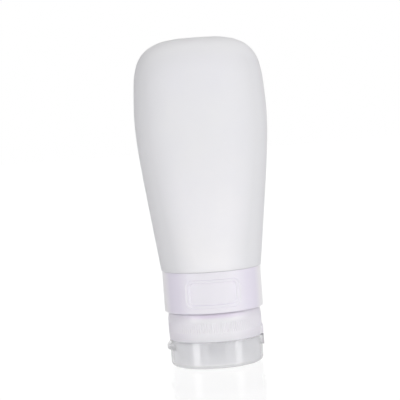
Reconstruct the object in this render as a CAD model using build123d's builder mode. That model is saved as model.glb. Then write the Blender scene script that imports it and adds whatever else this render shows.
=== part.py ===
from build123d import *
import os
from math import cos, pi, radians, sin

os.makedirs("parts", exist_ok=True)

# The bottle stands upside down on its closed lid. The origin is the centre of the lid's outer
# face, +Z runs up through the cap and the neck into the silicone body, -Y is the side of the
# label window, +X is the hinge and -X the thumb lip. All sizes are in millimetres.

# Heights of the visible pieces, one above the other
lid_height = 10.6
parting_gap = 0.2
cap_height = 11.1
cap_to_flange_gap = 0.1
flange_thickness = 1.8
collar_gap = 0.5
collar_height = 15.8
collar_to_body_gap = 0.15
body_height = 91.7

# Running clearances between pieces that turn or slide, and snug ones between fixed pieces
turning_clearance = 0.25
snug_clearance = 0.1
face_clearance = 0.05
overrun = 2.0

# The collar sets how wide the neck is, and the pieces above and below step in or out from it
collar_radius = 19.7
body_root_step = 0.35
cap_step = 1.05
cap_foot_step = 0.15
lid_step = 0.15

# Silicone body: round at the collar, a flattened oval at its widest, blunt at the closed end
body_root_band = 0.65
body_root_round = 0.5
body_half_width = 26.4
body_half_depth = 19.3
body_widest_rise = 63.8
body_wall = 1.9
mouth_wall = 1.8
funnel_height = 3.6
flare_lead_share = 0.27
flare_power = 6
depth_swell_share = 0.02
side_taper_share = 0.06
side_corner_powers = (4.7, 2.95)
depth_taper_share = 0.1
depth_corner_powers = (3.2, 2.6)
flare_steps = 8
dome_rise_shares = (0.16, 0.32, 0.47, 0.61, 0.73, 0.83, 0.905, 0.955, 0.993)

# Neck insert: the hard sleeve that the silicone grips, with the outside thread for the cap
barrel_wall = 1.7
barrel_length = 8.6
stub_wall = 1.3
stub_short_of_shoulder = 0.25
barb_height = 0.4
barb_pitch = 3.2
barb_count = 4
first_barb_rise = 1.6
key_count = 3
key_width = 3.0
key_depth = 0.8

# Screw thread, right-handed, shared by the neck and the cap
thread_pitch = 4.0
thread_height = 0.9
thread_root_width = 1.9
thread_crest_width = 1.1
thread_turns = 1.5
thread_clearance = 0.4
thread_flank_gap = 0.25
thread_bite = 0.3
thread_lead_in = 1.4
thread_start_angle = 126.0
half_turn = 180.0

# Label ring and the clear collar that turns round it
label_ring_wall = 1.2
collar_wall = 2.0
collar_lip_height = 1.0
collar_lip_reach = 0.8
collar_foot_round = 0.8
collar_top_round = 0.3
window_width = 19.2
window_height = 9.0
window_corner_radius = 1.8
window_rise = 2.85
window_frame_width = 1.2
window_frame_depth = 0.35
window_depth = 0.75

# Cap base
cap_foot_rise = 3.2
cap_wall = 1.9
cap_shoulder_drop = 3.0
cap_shoulder_step = 0.5
cap_shoulder_round = 1.2
deck_thickness = 1.5
spigot_height = 1.3
spigot_wall = 0.9
spigot_clearance = 0.3
grip_rib_pitch = 1.0
grip_groove_radius = 0.32
grip_groove_depth = 0.24
grip_band_rise = 3.3
grip_band_height = 4.2

# Nozzle with its slit valve, which a snap ring holds
orifice_radius = 3.6
nozzle_reach = 3.9
nozzle_tip_radius = 5.2
nozzle_waist_reach = 1.6
valve_radius = 6.1
valve_pocket_wall = 1.5
valve_floor_thickness = 2.0
valve_flange_thickness = 0.9
valve_flange_width = 1.6
valve_membrane_thickness = 0.6
valve_crown = 1.2
slit_length = 4.6
slit_width = 0.16
retainer_height = 1.6
retainer_wall = 1.4
snap_bead_reach = 0.3
snap_bead_height = 0.4

# Sealing ring between the neck's end and the cap's deck
gasket_width = 2.6

# Flip lid
lid_wall = 1.5
lid_face_thickness = 1.6
lid_edge_round = 1.8
lid_inner_round = 0.8
plug_wall = 0.9
plug_entry = 0.8
plug_clearance = 0.3
plug_tip_chamfer = 0.3
lip_reach = 1.2
lip_half_angle = 31.0
lip_height = 3.0
lip_below_rim = 0.7
lip_slope_height = 1.3
lip_round = 0.35

# Living hinge: a flat leaf on the cap and one on the lid, with a thin web across the parting line
hinge_width = 11.0
hinge_reach = 0.5
cap_leaf_height = 3.6
lid_leaf_height = 3.6
leaf_root_depth = 1.9
leaf_chamfer = 0.6
web_height = 0.6
web_thickness = 0.35
web_short_of_leaf = 0.5

# Levels worked out from the stack of heights
cap_bottom = lid_height + parting_gap
cap_top = cap_bottom + cap_height
flange_bottom = cap_top + cap_to_flange_gap
flange_top = flange_bottom + flange_thickness
collar_bottom = cap_top + collar_gap
collar_top = collar_bottom + collar_height
shoulder_level = collar_top + collar_to_body_gap
barrel_end = flange_bottom - barrel_length
deck_top = cap_bottom + deck_thickness
parting_level = lid_height + parting_gap / 2

# Radii worked out from the pieces that fit together, from the collar inwards and downwards
body_root_radius = collar_radius + body_root_step
collar_bore_radius = collar_radius - collar_wall
label_ring_radius = collar_bore_radius - turning_clearance
label_bore_radius = label_ring_radius - label_ring_wall
mouth_radius = label_bore_radius - snug_clearance
mouth_bore_radius = mouth_radius - mouth_wall
stub_radius = mouth_bore_radius - snug_clearance - barb_height
stub_bore_radius = stub_radius - stub_wall
flange_radius = label_ring_radius
cap_radius = collar_radius - cap_step
cap_foot_radius = cap_radius - cap_foot_step
cap_bore_radius = cap_radius - cap_wall
neck_core_radius = cap_bore_radius - thread_clearance - thread_height
barrel_bore_radius = neck_core_radius - barrel_wall
lid_radius = cap_radius - lid_step
lid_bore_radius = lid_radius - lid_wall
spigot_radius = lid_bore_radius - spigot_clearance
leaf_face = lid_radius + hinge_reach


def half_section(corners):
    """Closed face in the XZ plane from (radius, height, corner radius) triples."""
    with BuildSketch(Plane.XZ) as section:
        with BuildLine():
            FilletPolyline(
                *[(radius, height) for radius, height, _ in corners],
                radius=[rounding for _, _, rounding in corners],
                close=True,
            )
        make_face()
    return section.sketch


def screw_ridge(root_radius, crest_radius, start_level, start_angle):
    """One helical thread ridge, from a root sunk a little into its wall to its crest."""
    outward = 1 if crest_radius > root_radius else -1
    sunk_radius = root_radius - outward * thread_bite
    start = Plane.XY.offset(start_level).rotated((0, 0, start_angle))
    with BuildPart() as ridge:
        with BuildLine(start) as path:
            Helix(pitch=thread_pitch, height=thread_turns * thread_pitch, radius=sunk_radius)
        radial = Vector(cos(radians(start_angle)), sin(radians(start_angle)), 0)
        with BuildSketch(Plane(origin=path.line @ 0, x_dir=radial * outward, z_dir=path.line % 0)):
            with BuildLine():
                Polyline(
                    (0, -thread_root_width / 2),
                    (thread_bite, -thread_root_width / 2),
                    (thread_bite + thread_height, -thread_crest_width / 2),
                    (thread_bite + thread_height, thread_crest_width / 2),
                    (thread_bite, thread_root_width / 2),
                    (0, thread_root_width / 2),
                    close=True,
                )
            make_face()
        sweep(path=path.line, is_frenet=True)
    return ridge.part


# Silicone body

dome_height = (body_height - body_widest_rise) / dome_rise_shares[-1]
widest_level = shoulder_level + body_widest_rise
oval_start_level = shoulder_level + body_root_band


def flare_axes(level):
    """Half width and half depth of the oval between the collar and its widest level."""
    rise = (level - oval_start_level) / (widest_level - oval_start_level)
    flare = (1 + flare_lead_share) * rise - flare_lead_share * rise**flare_power
    half_width = body_root_radius + (body_half_width - body_root_radius) * flare
    half_depth = body_root_radius + (body_half_depth - body_root_radius) * rise**2
    half_depth += body_root_radius * depth_swell_share * sin(pi * rise)
    return half_width, half_depth


def dome_share(rise, taper, powers):
    """Share of the widest half axis that is left at a share of the closed end's height."""
    return (1 - taper * rise) * (1 - rise ** powers[0]) ** (1 / powers[1])


def oval_stations(start_level, inset):
    """Levels and half axes of the body's ovals, drawn in by a wall."""
    stations = []
    for step in range(flare_steps + 1):
        level = start_level + (widest_level - start_level) * step / flare_steps
        half_width, half_depth = flare_axes(level)
        stations.append((level, half_width - inset, half_depth - inset))
    for rise in dome_rise_shares:
        half_width = (body_half_width - inset) * dome_share(rise, side_taper_share, side_corner_powers)
        half_depth = (body_half_depth - inset) * dome_share(rise, depth_taper_share, depth_corner_powers)
        stations.append((widest_level + (dome_height - inset) * rise, half_width, half_depth))
    return stations


def oval_loft(start_level, inset):
    """Smooth solid through the body's ovals."""
    with BuildPart() as blank:
        for level, half_width, half_depth in oval_stations(start_level, inset):
            with BuildSketch(Plane.XY.offset(level)):
                Ellipse(half_width, half_depth)
        loft()
    return blank.part


funnel_top = shoulder_level + body_wall + funnel_height
funnel_radius = flare_axes(funnel_top)[0] - body_wall
funnel_depth_radius = flare_axes(funnel_top)[1] - body_wall

with BuildPart() as silicone_body:
    add(oval_loft(oval_start_level, 0))
    revolve(
        half_section([
            (0, flange_top, 0),
            (mouth_radius, flange_top, 0),
            (mouth_radius, shoulder_level, 0),
            (body_root_radius, shoulder_level, body_root_round),
            (body_root_radius, oval_start_level, 0),
            (0, oval_start_level, 0),
        ]),
        axis=Axis.Z,
    )
    add(oval_loft(funnel_top, body_wall), mode=Mode.SUBTRACT)
    with BuildSketch(Plane.XY.offset(funnel_top)):
        Ellipse(funnel_radius, funnel_depth_radius)
    with BuildSketch(Plane.XY.offset(shoulder_level + body_wall / 2)):
        Circle(mouth_bore_radius)
    loft(mode=Mode.SUBTRACT)
    with BuildSketch(Plane.XY.offset(flange_top)):
        Circle(mouth_bore_radius)
    extrude(amount=shoulder_level + body_wall / 2 - flange_top, mode=Mode.SUBTRACT)
silicone_body.part.label = "silicone_body"
export_step(silicone_body.part, "parts/silicone_body.step")


# Neck insert: threaded barrel below, flange at the parting with the cap, barbed stub above

stub_top = shoulder_level - stub_short_of_shoulder
barb_corners = []
for barb in range(barb_count):
    barb_level = flange_top + first_barb_rise + barb * barb_pitch
    barb_corners += [
        (stub_radius, barb_level, 0),
        (stub_radius + barb_height, barb_level, 0),
        (stub_radius + barb_height, barb_level + barb_height, 0),
        (stub_radius, barb_level + barb_pitch / 2, 0),
    ]
thread_start_level = barrel_end + thread_lead_in

with BuildPart() as neck_insert:
    revolve(
        half_section([
            (barrel_bore_radius, barrel_end, 0),
            (neck_core_radius, barrel_end, snug_clearance),
            (neck_core_radius, flange_bottom, 0),
            (flange_radius, flange_bottom, snug_clearance),
            (flange_radius, flange_top, 0),
            (stub_radius, flange_top, 0),
            *barb_corners,
            (stub_radius, stub_top, stub_wall / 2),
            (stub_bore_radius, stub_top, 0),
            (stub_bore_radius, flange_top, 0),
            (barrel_bore_radius, flange_bottom, 0),
        ]),
        axis=Axis.Z,
    )
    add(
        screw_ridge(
            neck_core_radius,
            neck_core_radius + thread_height,
            thread_start_level,
            thread_start_angle,
        )
    )
    with BuildSketch(Plane.XY.offset(flange_top)):
        with PolarLocations((label_bore_radius + label_ring_radius) / 2, key_count):
            Rectangle(label_ring_wall + overrun, key_width + 2 * snug_clearance)
        Circle(mouth_radius, mode=Mode.SUBTRACT)
    extrude(amount=-key_depth - face_clearance, mode=Mode.SUBTRACT)
neck_insert.part.label = "neck_insert"
export_step(neck_insert.part, "parts/neck_insert.step")


# Label ring: the coloured sleeve behind the window, keyed to the flange

label_bottom = flange_top + face_clearance
label_top = collar_top - collar_lip_height - turning_clearance

with BuildPart() as label_ring:
    with BuildSketch(Plane.XY.offset(label_bottom)):
        Circle(label_ring_radius)
        Circle(label_bore_radius, mode=Mode.SUBTRACT)
    extrude(amount=label_top - label_bottom)
    with BuildSketch(Plane.XY.offset(label_bottom)):
        with PolarLocations((label_bore_radius + label_ring_radius) / 2, key_count):
            Rectangle(label_ring_wall, key_width)
        Circle(label_ring_radius, mode=Mode.INTERSECT)
        Circle(label_bore_radius, mode=Mode.SUBTRACT)
    extrude(amount=-key_depth)
label_ring.part.label = "label_ring"
export_step(label_ring.part, "parts/label_ring.step")


# Window collar: clear sleeve with a framed window, hung on the label ring by its top lip

window_centre = collar_bottom + window_rise + window_height / 2


def window_cutter(width, height, corner_radius, depth):
    """Pocket tool in front of the collar, with a floor that follows its curve."""
    with BuildPart() as tool:
        with BuildSketch(Plane.XZ):
            with Locations((0, window_centre)):
                RectangleRounded(width, height, corner_radius)
        extrude(amount=collar_radius + overrun)
        with BuildSketch(Plane.XY.offset(collar_bottom)):
            Circle(collar_radius - depth)
        extrude(amount=collar_height, mode=Mode.SUBTRACT)
    return tool.part


with BuildPart() as window_collar:
    revolve(
        half_section([
            (collar_bore_radius, collar_bottom, snug_clearance),
            (collar_radius, collar_bottom, collar_foot_round),
            (collar_radius, collar_top, collar_top_round),
            (collar_bore_radius - collar_lip_reach, collar_top, snug_clearance),
            (collar_bore_radius - collar_lip_reach, collar_top - collar_lip_height, snug_clearance),
            (collar_bore_radius, collar_top - collar_lip_height, 0),
        ]),
        axis=Axis.Z,
    )
    add(
        window_cutter(
            window_width + 2 * window_frame_width,
            window_height + 2 * window_frame_width,
            window_corner_radius + window_frame_width,
            window_frame_depth,
        ),
        mode=Mode.SUBTRACT,
    )
    add(
        window_cutter(window_width, window_height, window_corner_radius, window_depth),
        mode=Mode.SUBTRACT,
    )
window_collar.part.label = "window_collar"
export_step(window_collar.part, "parts/window_collar.step")


# Sealing ring, squeezed between the neck's end and the cap's deck

with BuildPart() as seal_gasket:
    with BuildSketch(Plane.XY.offset(deck_top + face_clearance)):
        Circle(barrel_bore_radius + gasket_width)
        Circle(barrel_bore_radius, mode=Mode.SUBTRACT)
    extrude(amount=barrel_end - deck_top - 2 * face_clearance)
seal_gasket.part.label = "seal_gasket"
export_step(seal_gasket.part, "parts/seal_gasket.step")


# Cap base: screw skirt, deck, nozzle and the spigot that the lid closes over

spigot_bottom = cap_bottom - spigot_height
nozzle_bottom = cap_bottom - nozzle_reach
pocket_radius = valve_radius + snug_clearance
pocket_floor = nozzle_bottom + valve_floor_thickness
nozzle_radius = pocket_radius + valve_pocket_wall
valve_bottom = pocket_floor + face_clearance
valve_top = valve_bottom + valve_flange_thickness
retainer_bottom = valve_top + face_clearance
retainer_top = retainer_bottom + retainer_height
bead_bottom = retainer_top + face_clearance
flank_offset = (thread_root_width + thread_crest_width) / 2 + thread_flank_gap
cap_thread_level = thread_start_level + flank_offset - thread_pitch / 2
grip_groove_count = round(2 * pi * cap_radius / grip_rib_pitch)
cap_leaf_bottom = parting_level + web_height / 2
lid_leaf_top = parting_level - web_height / 2


def hinge_leaf(bottom, height, sloped_top=False):
    """Flat-faced block of the hinge, rooted in the wall behind it."""
    with BuildPart() as leaf:
        with BuildSketch(Plane.XY.offset(bottom)):
            with Locations((leaf_face - leaf_root_depth / 2, 0)):
                Rectangle(leaf_root_depth, hinge_width)
            chamfer(vertices().group_by(Axis.X)[-1], leaf_chamfer)
        extrude(amount=height)
        if sloped_top:
            outer_edges = edges().filter_by(Axis.Y).group_by(Axis.X)[-1]
            chamfer(outer_edges.sort_by(Axis.Z)[-1], leaf_chamfer)
    return leaf.part


with BuildPart() as cap_base:
    revolve(
        half_section([
            (orifice_radius, nozzle_bottom, 0),
            (nozzle_tip_radius, nozzle_bottom, snug_clearance),
            (nozzle_radius, cap_bottom - nozzle_waist_reach, 0),
            (nozzle_radius, cap_bottom, 0),
            (spigot_radius - spigot_wall, cap_bottom, 0),
            (spigot_radius - spigot_wall, spigot_bottom, 0),
            (spigot_radius, spigot_bottom, snug_clearance),
            (spigot_radius, cap_bottom, 0),
            (cap_foot_radius, cap_bottom, snug_clearance),
            (cap_radius, cap_bottom + cap_foot_rise, 0),
            (cap_radius, cap_top - cap_shoulder_drop, 0),
            (cap_radius - cap_shoulder_step, cap_top, cap_shoulder_round),
            (cap_bore_radius, cap_top, 0),
            (cap_bore_radius, deck_top, 0),
            (pocket_radius, deck_top, 0),
            (pocket_radius, bead_bottom + snap_bead_height, 0),
            (pocket_radius - snap_bead_reach, bead_bottom + snap_bead_height / 2, 0),
            (pocket_radius, bead_bottom, 0),
            (pocket_radius, pocket_floor, 0),
            (orifice_radius, pocket_floor, 0),
        ]),
        axis=Axis.Z,
    )
    with BuildSketch(Plane.XY.offset(cap_bottom + grip_band_rise)):
        with PolarLocations(cap_radius + grip_groove_radius - grip_groove_depth, grip_groove_count):
            Circle(grip_groove_radius)
    extrude(amount=grip_band_height, mode=Mode.SUBTRACT)
    add(
        screw_ridge(
            cap_bore_radius,
            cap_bore_radius - thread_height,
            cap_thread_level,
            thread_start_angle - half_turn,
        )
    )
    add(hinge_leaf(cap_leaf_bottom, cap_leaf_height, sloped_top=True))
cap_base.part.label = "cap_base"
export_step(cap_base.part, "parts/cap_base.step")


# Slit valve: a flanged silicone dome, crowned towards the contents and cut crosswise

dome_edge_radius = valve_radius - valve_flange_width
dome_top = valve_top + valve_crown


def dome_level(radius, edge_level, crown_level):
    """Height of a shallow spherical dome at a radius from its axis."""
    crown = crown_level - edge_level
    sphere_radius = (dome_edge_radius**2 + crown**2) / (2 * crown)
    return crown_level - sphere_radius + (sphere_radius**2 - radius**2) ** 0.5


def dome_arc(edge_level, crown_level):
    """Arc of the dome from its edge to its crown, inside the caller's points."""
    half_way = dome_edge_radius / 2
    return (
        (dome_edge_radius, edge_level),
        (half_way, dome_level(half_way, edge_level, crown_level)),
        (0, crown_level),
    )


with BuildSketch(Plane.XZ) as valve_section:
    with BuildLine():
        ThreePointArc(*dome_arc(valve_bottom, dome_top - valve_membrane_thickness))
        Line((0, dome_top - valve_membrane_thickness), (0, dome_top))
        ThreePointArc(*dome_arc(valve_top, dome_top))
        Polyline(
            (dome_edge_radius, valve_top),
            (valve_radius, valve_top),
            (valve_radius, valve_bottom),
            (dome_edge_radius, valve_bottom),
        )
    make_face()

with BuildPart() as flow_valve:
    revolve(valve_section.sketch, axis=Axis.Z)
    with BuildSketch(Plane.XY.offset(valve_bottom)):
        Rectangle(slit_length, slit_width)
        Rectangle(slit_width, slit_length)
    extrude(amount=valve_flange_thickness + valve_crown + overrun, mode=Mode.SUBTRACT)
flow_valve.part.label = "flow_valve"
export_step(flow_valve.part, "parts/flow_valve.step")


# Snap ring that holds the valve's flange down in its pocket

with BuildPart() as valve_retainer:
    with BuildSketch(Plane.XY.offset(retainer_bottom)):
        Circle(valve_radius)
        Circle(valve_radius - retainer_wall, mode=Mode.SUBTRACT)
    extrude(amount=retainer_height)
valve_retainer.part.label = "valve_retainer"
export_step(valve_retainer.part, "parts/valve_retainer.step")


# Flip lid: a clear cup with a sealing plug, a crescent thumb lip and its hinge leaf

lip_tip_radius = lid_radius + lip_reach
lip_offset = (lip_tip_radius**2 - lid_radius**2) / (
    2 * (lip_tip_radius - lid_radius * cos(radians(lip_half_angle)))
)
lip_arc_radius = lip_tip_radius - lip_offset
lip_top = lid_height - lip_below_rim
plug_radius = orifice_radius - plug_clearance
plug_top = nozzle_bottom + plug_entry

with BuildPart() as lip_disc:
    revolve(
        half_section([
            (0, lip_top - lip_height, 0),
            (lip_arc_radius, lip_top - lip_height, lip_round),
            (lip_arc_radius, lip_top - lip_slope_height, lip_round),
            (lip_arc_radius - lip_reach, lip_top, 0),
            (0, lip_top, 0),
        ]),
        axis=Axis.Z,
    )

with BuildPart() as flip_lid:
    revolve(
        half_section([
            (0, 0, 0),
            (lid_radius, 0, lid_edge_round),
            (lid_radius, lid_height, snug_clearance),
            (0, lid_height, 0),
        ]),
        axis=Axis.Z,
    )
    with Locations((-lip_offset, 0, 0)):
        add(lip_disc.part)
    add(hinge_leaf(lid_leaf_top - lid_leaf_height, lid_leaf_height))
    revolve(
        half_section([
            (0, lid_face_thickness, 0),
            (lid_bore_radius, lid_face_thickness, lid_inner_round),
            (lid_bore_radius, lid_height + overrun, 0),
            (0, lid_height + overrun, 0),
        ]),
        axis=Axis.Z,
        mode=Mode.SUBTRACT,
    )
    revolve(
        half_section([
            (plug_radius - plug_wall, lid_face_thickness, 0),
            (plug_radius, lid_face_thickness, 0),
            (plug_radius, plug_top, plug_tip_chamfer),
            (plug_radius - plug_wall, plug_top, plug_tip_chamfer),
        ]),
        axis=Axis.Z,
    )
flip_lid.part.label = "flip_lid"
export_step(flip_lid.part, "parts/flip_lid.step")


# Thin web of the living hinge, bridging the two leaves at their outer faces

with BuildPart() as hinge_web:
    with BuildSketch(Plane.XY.offset(lid_leaf_top + face_clearance)):
        with Locations((leaf_face - web_thickness / 2, 0)):
            Rectangle(web_thickness, hinge_width - 2 * (leaf_chamfer + web_short_of_leaf))
    extrude(amount=cap_leaf_bottom - lid_leaf_top - face_clearance)
hinge_web.part.label = "hinge_web"
export_step(hinge_web.part, "parts/hinge_web.step")
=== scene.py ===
"""Looks of the travel silicone bottle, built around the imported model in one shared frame.

The bottle stands upside down on its closed lid. The lid's outer face is at height zero, +Z runs up
through the cap, the neck and the silicone body, -Y is the side of the label window, +X the hinge.
Sizes are in millimetres and become metres where a mesh is written.
"""

import logging
import math
from dataclasses import dataclass
from enum import Enum
from functools import cache
from typing import Callable

import bpy
from mathutils import Matrix, Vector


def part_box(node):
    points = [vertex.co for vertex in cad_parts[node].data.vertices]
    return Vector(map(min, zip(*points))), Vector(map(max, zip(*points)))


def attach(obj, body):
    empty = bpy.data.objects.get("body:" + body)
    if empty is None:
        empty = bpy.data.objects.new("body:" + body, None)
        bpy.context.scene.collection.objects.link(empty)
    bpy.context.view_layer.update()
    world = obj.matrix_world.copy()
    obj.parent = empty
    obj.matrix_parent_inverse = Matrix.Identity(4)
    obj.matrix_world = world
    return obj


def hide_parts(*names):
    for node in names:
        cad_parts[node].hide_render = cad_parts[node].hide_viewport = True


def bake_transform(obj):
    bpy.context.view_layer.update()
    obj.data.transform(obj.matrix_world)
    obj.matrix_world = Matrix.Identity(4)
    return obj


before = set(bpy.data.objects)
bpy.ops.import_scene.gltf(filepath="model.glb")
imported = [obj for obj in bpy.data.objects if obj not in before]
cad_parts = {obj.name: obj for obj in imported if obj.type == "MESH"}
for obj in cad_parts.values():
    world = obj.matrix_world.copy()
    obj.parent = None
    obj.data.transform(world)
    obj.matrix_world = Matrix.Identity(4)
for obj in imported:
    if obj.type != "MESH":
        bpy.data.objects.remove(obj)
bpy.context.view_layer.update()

LOG = logging.getLogger("travel_bottle")
MM = 0.001

# Sizes in millimetres and angles in radians that differ by less than this are the same
TOUCH = 0.001
SAME_ANGLE = 0.00001
# Keeps a division or a count clear of rounding errors
TINY = 0.000001
# A form on one side of the bottle lies within this angle of its middle
SECTOR = math.pi / 3

Corner = tuple[float, float, float]
Point = tuple[float, float]
Colour = tuple[float, float, float]
# Gives a point's new radius and height from its radius, height and angle
Warp = Callable[[float, float, float], Point]
Rings = list[list[Vector]]
Tree = bpy.types.NodeTree
Socket = bpy.types.NodeSocket
Piece = bpy.types.Object

WHITE: Colour = (1.0, 1.0, 1.0)
GREY: Colour = (0.8, 0.8, 0.8)


def srgb(*parts: int) -> Colour:
    """Linear colour, as shaders use it, of an 8-bit display colour."""
    shares = [part / 255 for part in parts]
    return tuple(share / 12.92 if share <= 0.04045 else ((share + 0.055) / 1.055) ** 2.4 for share in shares)


def node_span(node: str) -> tuple[Vector, Vector]:
    """Lowest and highest corners of a CAD node, in millimetres."""
    low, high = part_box(node)
    return low / MM, high / MM


class Edge(Enum):
    """How sharply a mesh is shaded, as the angle above which an edge stays crisp."""

    SOFT = math.radians(60)
    CRISP = math.radians(32)


# Profiles and skins


def rounded(corners: list[Corner], arc_steps: int = 6) -> list[Point]:
    """Round the corners of an outline.

    Args:
        corners: Radius, height and rounding of each corner, in order. The first and the last meet.
        arc_steps: Segments in each rounded corner.

    Returns:
        The outline's points in the same order.
    """
    points: list[Point] = []
    for index, (radius, height, rounding) in enumerate(corners):
        here = Vector((radius, height))
        if rounding <= 0:
            points.append((radius, height))
            continue
        before = (Vector(corners[index - 1][:2]) - here).normalized()
        after = (Vector(corners[(index + 1) % len(corners)][:2]) - here).normalized()
        half = before.angle(after) / 2
        centre = here + (before + after).normalized() * rounding / math.sin(half)
        first = here + before * rounding / math.tan(half) - centre
        last = here + after * rounding / math.tan(half) - centre
        start = math.atan2(first.y, first.x)
        sweep = (math.atan2(last.y, last.x) - start + math.pi) % (2 * math.pi) - math.pi
        for angle in spread(start, start + sweep, arc_steps):
            points.append((centre.x + rounding * math.cos(angle), centre.y + rounding * math.sin(angle)))
    return points


def close_rows(outline: list[Point], radius: float, longest: float) -> list[Point]:
    """Divide the segments of a closed outline that run along one wall.

    Args:
        outline: The outline.
        radius: The wall's radius.
        longest: The longest segment wanted there.

    Returns:
        The outline with points added on those segments.
    """
    result: list[Point] = []
    for start, end in zip(outline, outline[1:] + outline[:1]):
        on_wall = meets(start[0], radius) and meets(end[0], radius)
        pieces = max(1, math.ceil(math.dist(start, end) / longest - TINY)) if on_wall else 1
        for piece in range(pieces):
            share = piece / pieces
            result.append(tuple(a + (b - a) * share for a, b in zip(start, end)))
    return result


def even_angles(count: int, extra: list[float]) -> list[float]:
    """Evenly spaced angles round a full turn with others among them, in radians.

    Args:
        count: Number of evenly spaced angles.
        extra: Angles to add to them, where a shape has its edges.

    Returns:
        All angles in order, between 0 and a full turn, and none twice.
    """
    turn = 2 * math.pi
    angles = sorted([turn * index / count for index in range(count)] + [angle % turn for angle in extra])
    return [angle for before, angle in zip([-1.0, *angles], angles) if angle - before > SAME_ANGLE]


def spread(start: float, end: float, spans: int) -> list[float]:
    """Evenly spaced values from a start to an end, both among them."""
    return [start + (end - start) * step / spans for step in range(spans + 1)]


def meets(size: float, other: float) -> bool:
    """Whether two sizes are the same but for rounding."""
    return abs(size - other) < TOUCH


def mesh_object(name: str, vertices: list[Vector], faces: list[tuple[int, ...]], edge: Edge) -> Piece:
    """Write a mesh in metres and shade it smooth with crisp edges.

    Args:
        name: The piece's name.
        vertices: Points in millimetres.
        faces: Corner indices of each face.
        edge: How sharply its edges are shaded.

    Returns:
        The new object, linked to the scene.
    """
    mesh = bpy.data.meshes.new(name)
    mesh.from_pydata([tuple(v * MM) for v in vertices], [], faces)
    mesh.update()
    piece = bpy.data.objects.new(name, mesh)
    bpy.context.scene.collection.objects.link(piece)
    mesh.polygons.foreach_set("use_smooth", [True] * len(mesh.polygons))
    mesh.set_sharp_from_angle(angle=edge.value)
    return piece


def skin(name: str, rings: Rings, closed: bool, edge: Edge = Edge.CRISP) -> Piece:
    """Stretch a skin over rings that all have the same number of points.

    Args:
        name: The piece's name.
        rings: The rings in order, so that the skin faces outwards.
        closed: Join the last ring to the first, as on a ring-shaped piece; otherwise cap both ends.
        edge: How sharply its edges are shaded.

    Returns:
        The new object.
    """
    count = len(rings[0])
    vertices = [point for ring in rings for point in ring]
    faces: list[tuple[int, ...]] = []
    spans = len(rings) if closed else len(rings) - 1
    for row in range(spans):
        low = row * count
        high = (row + 1) % len(rings) * count
        for index in range(count):
            after = (index + 1) % count
            faces.append((low + index, low + after, high + after, high + index))
    if not closed:
        for row, turn in ((0, -1), (len(rings) - 1, 1)):
            centre = sum(rings[row], Vector()) / count
            vertices.append(centre)
            for index in range(count):
                pair = (row * count + index, row * count + (index + 1) % count)
                faces.append((*pair[::turn], len(vertices) - 1))
    return mesh_object(name, vertices, faces, edge)


def turned_rings(outline: list[Point], angles: list[float], warp: Warp | None = None) -> Rings:
    """Turn an outline about the bottle's axis.

    Args:
        outline: Radius and height of each ring.
        angles: The angles of each ring's points.
        warp: Gives a point's new radius and height from its radius, height and angle.

    Returns:
        One ring for each point of the outline.
    """
    rings = []
    for radius, height in outline:
        ring = []
        for angle in angles:
            out, level = warp(radius, height, angle) if warp else (radius, height)
            ring.append(Vector((out * math.cos(angle), out * math.sin(angle), level)))
        rings.append(ring)
    return rings


def oblong(low: Point, high: Point, rounding: float) -> list[Point]:
    """Outline of a rectangle with rounded corners."""
    corners = ((low[0], low[1]), (high[0], low[1]), (high[0], high[1]), (low[0], high[1]))
    return rounded([(*corner, rounding) for corner in corners], arc_steps=3)


def stand(data: bpy.types.Camera | bpy.types.Light, spot: Vector, target: Vector) -> Piece:
    """Put a camera or a light at one spot and aim it at another.

    Args:
        data: The camera or the light.
        spot: Where it stands.
        target: What it looks at.

    Returns:
        Its object, linked to the scene.
    """
    thing = bpy.data.objects.new(data.name, data)
    turn = (target - spot).to_track_quat("-Z", "Y").to_matrix().to_4x4()
    thing.matrix_world = Matrix.Translation(spot * MM) @ turn
    bpy.context.scene.collection.objects.link(thing)
    return thing


def off_axis(angle: float, middle: float) -> float:
    """How far an angle lies from another one, in radians, at most half a turn."""
    return abs((angle - middle + math.pi) % (2 * math.pi) - math.pi)


def smooth_step(value: float) -> float:
    """Ease from 0 to 1 as the value goes from 0 to 1."""
    share = min(1.0, max(0.0, value))
    return share * share * (3 - 2 * share)


@dataclass(frozen=True)
class ScrewThread:
    """The right-hand thread that the neck and the cap share.

    A ridge is described by how far a point stands from its helix, so either wall can carry it.
    """

    pitch: float = 4.0
    height: float = 0.9
    root_width: float = 1.9
    crest_width: float = 1.1
    turns: float = 1.5
    fade: float = 12.0

    def lift(self, level: float, angle: float, start_level: float, start_angle: float) -> float:
        """Height of the ridge over its wall at one point.

        Args:
            level: Height of the point.
            angle: Angle of the point, in radians.
            start_level: Height of the ridge's middle where it starts.
            start_angle: Angle where it starts, in degrees.

        Returns:
            The ridge's height there, in millimetres.
        """
        turn = (math.degrees(angle) - start_angle) % 360
        best = 0.0
        while turn <= self.turns * 360:
            off = abs(level - start_level - self.pitch * turn / 360)
            flank = (self.root_width - self.crest_width) / 2
            share = min(1.0, max(0.0, (self.root_width / 2 - off) / flank))
            ends = min(1.0, turn / self.fade, (self.turns * 360 - turn) / self.fade)
            best = max(best, self.height * share * ends)
            turn += 360
        return best


# Shader effects shared by several materials


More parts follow.
